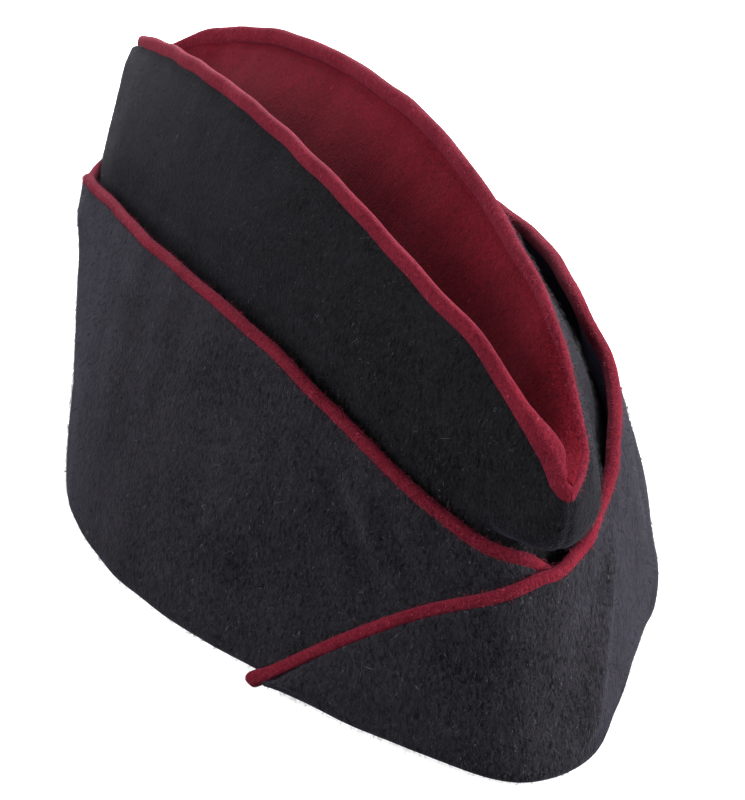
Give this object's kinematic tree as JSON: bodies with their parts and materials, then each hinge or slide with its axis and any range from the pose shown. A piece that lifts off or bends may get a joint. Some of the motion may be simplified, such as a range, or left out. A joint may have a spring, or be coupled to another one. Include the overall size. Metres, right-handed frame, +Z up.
{
  "type": "garrison cap",
  "caption": "Boat-shaped soft felt cap with a turned-up band that wraps over at the front, contrast piping and a folded top.",
  "frame": {"origin": "on the surface the rim stands on, under the middle of the cap's box", "axes": "+X towards the front of the cap, +Y towards the wearer's left, +Z up"},
  "size_m": [0.2912, 0.148, 0.1116],
  "materials": {
    "charcoal_felt": "napped wool felt",
    "burgundy_felt": "napped wool felt",
    "burgundy_piping": "folded wool felt"
  },
  "bodies": {
    "root": {"crown_side_right": "charcoal_felt", "crown_side_left": "charcoal_felt", "top_gusset": "burgundy_felt", "crown_piping_right": "burgundy_piping", "crown_piping_left": "burgundy_piping", "curtain_right": "charcoal_felt", "curtain_left": "charcoal_felt", "curtain_piping_right": "burgundy_piping", "curtain_piping_left": "burgundy_piping"}
  },
  "joints": []
}
